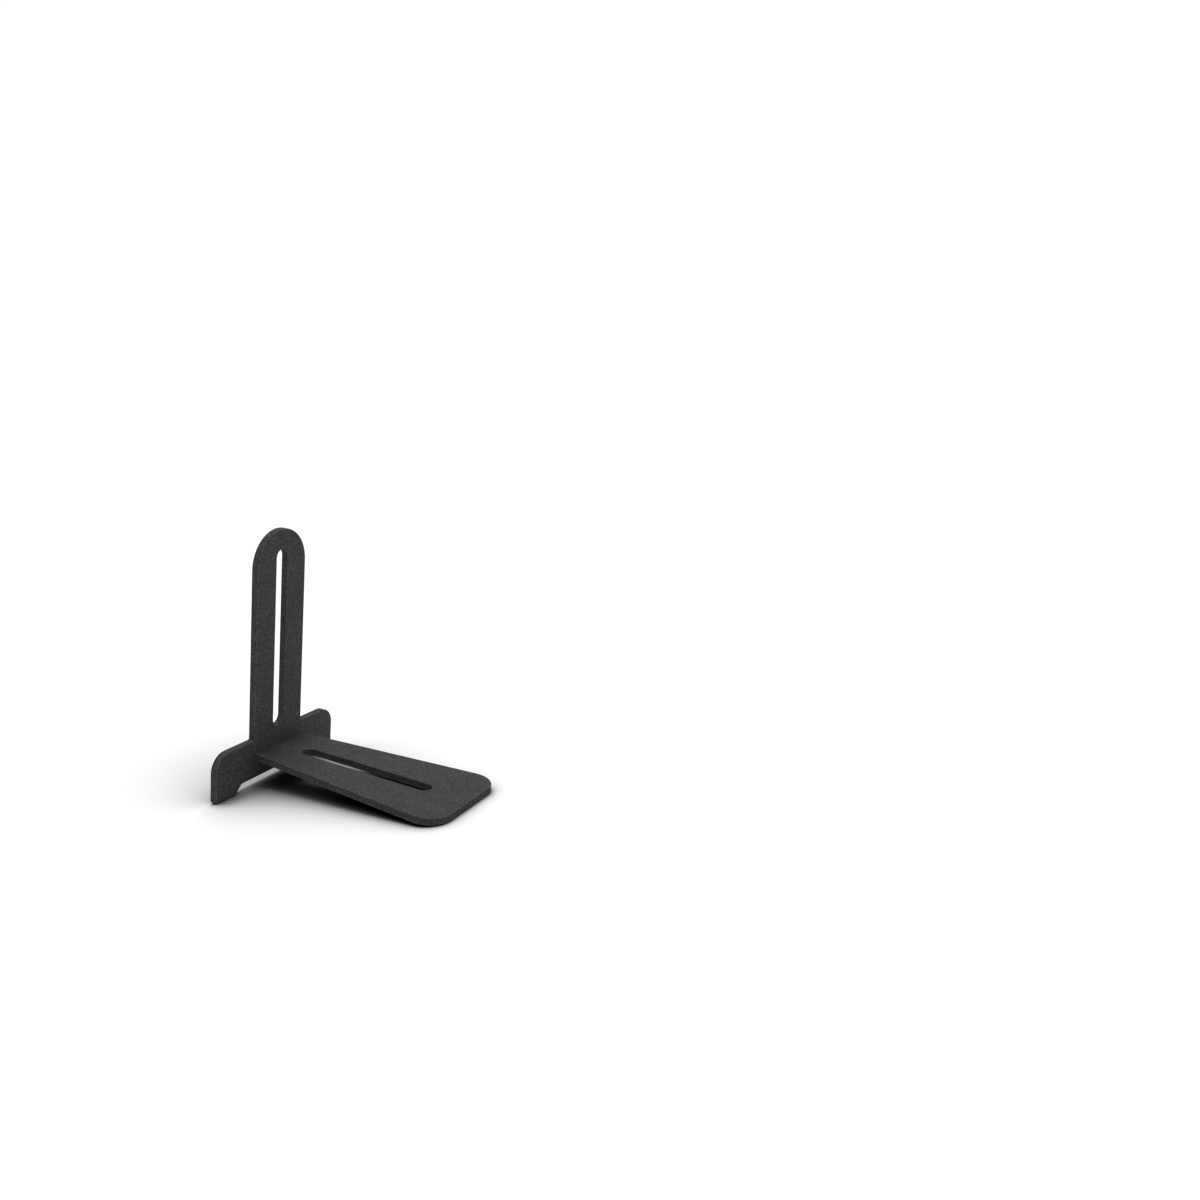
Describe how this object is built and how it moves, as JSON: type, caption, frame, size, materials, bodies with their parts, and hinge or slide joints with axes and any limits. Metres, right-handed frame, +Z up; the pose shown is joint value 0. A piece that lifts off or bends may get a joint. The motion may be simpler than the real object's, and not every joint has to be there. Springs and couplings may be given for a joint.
{
  "type": "bicycle floor rack",
  "caption": "Free-standing floor rack for one bicycle wheel: a leaning slotted upright board with a wide foot, and a tapered slotted ramp board bolted to it.",
  "frame": {"origin": "on the floor, under the middle of the whole rack", "axes": "+X across the rack, +Y from the ramp's front towards the upright's back, +Z up"},
  "size_m": [0.45, 0.577, 0.6336],
  "materials": {
    "fibre_board": "charcoal through-coloured fibre board, fine matt",
    "zinc_plated_steel": "zinc plated, satin",
    "beech": "bare beech",
    "rubber": "matt black"
  },
  "bodies": {
    "root": {"upright_board": "fibre_board", "ramp_board": "fibre_board", "connector_bolts": "zinc_plated_steel", "barrel_nuts": "zinc_plated_steel", "locating_dowels": "beech", "left_sole_pad": "rubber", "right_sole_pad": "rubber", "left_front_bumper": "rubber", "right_front_bumper": "rubber"}
  },
  "joints": []
}
